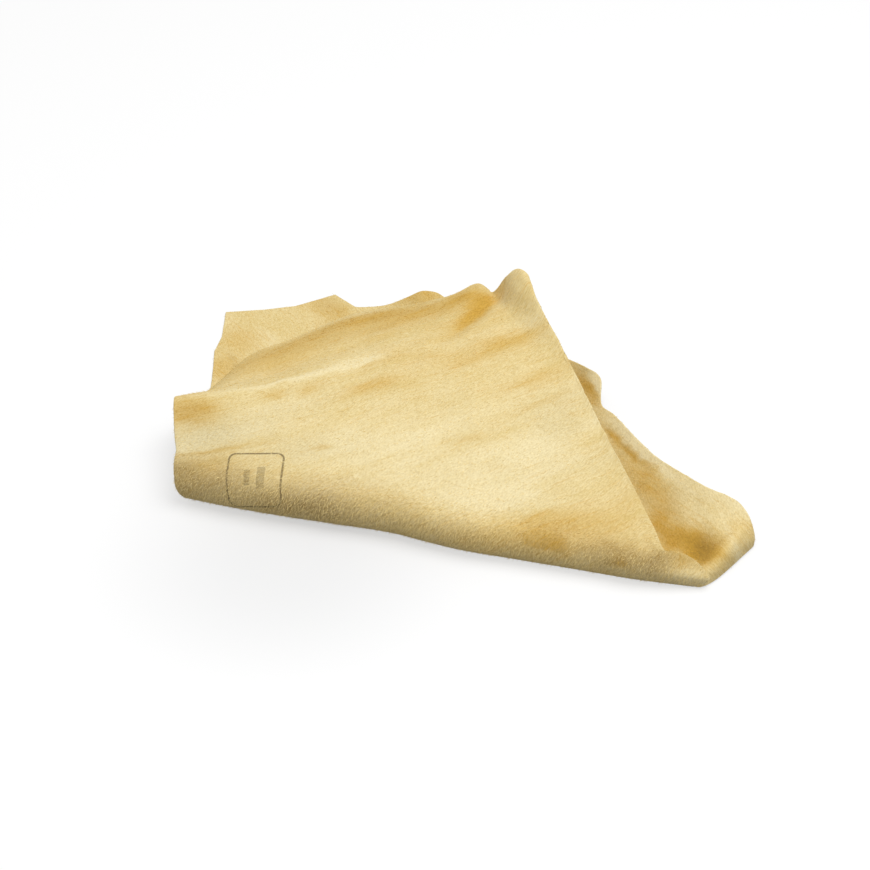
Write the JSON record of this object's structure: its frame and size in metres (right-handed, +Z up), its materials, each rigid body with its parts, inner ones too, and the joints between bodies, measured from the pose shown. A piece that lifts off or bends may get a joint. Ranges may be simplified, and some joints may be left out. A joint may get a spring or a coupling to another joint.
{
  "type": "chamois leather",
  "caption": "Soft suede chamois hide for wiping and drying, folded over along its front edge into a raised flap on a flat base, with a curled right edge.",
  "frame": {"origin": "a point in the middle of the flat underside of the base, on the surface that the hide lies on", "axes": "+X along the front fold towards the curled right edge, +Y away from the fold towards the rear edge, +Z up"},
  "size_m": [0.3277, 0.2224, 0.06],
  "materials": {
    "chamois_suede": "soft matt suede nap, straw yellow with cream streaks and ochre patches"
  },
  "bodies": {
    "base": {"base_panel": "chamois_suede"},
    "flap": {"upper_flap": "chamois_suede"},
    "curl": {"right_curl": "chamois_suede"},
    "corner": {"rear_corner": "chamois_suede"}
  },
  "joints": [
    {"name": "front_fold", "type": "hinge", "parent": "base", "child": "flap", "pos_m": [0.02112, -0.09132, 0.01025], "axis": [0.9999, 0, -0.0133], "range_deg": [0, 150]},
    {"name": "right_curl_bend", "type": "hinge", "parent": "base", "child": "curl", "pos_m": [0.0925, -0.00313, 0.0006], "axis": [0.583, -0.8125, 0], "range_deg": [0, 35]},
    {"name": "rear_corner_lift", "type": "hinge", "parent": "base", "child": "corner", "pos_m": [-0.1136, 0.07648, 0.0006], "axis": [0.5015, 0.8652, 0], "range_deg": [0, 60]}
  ]
}
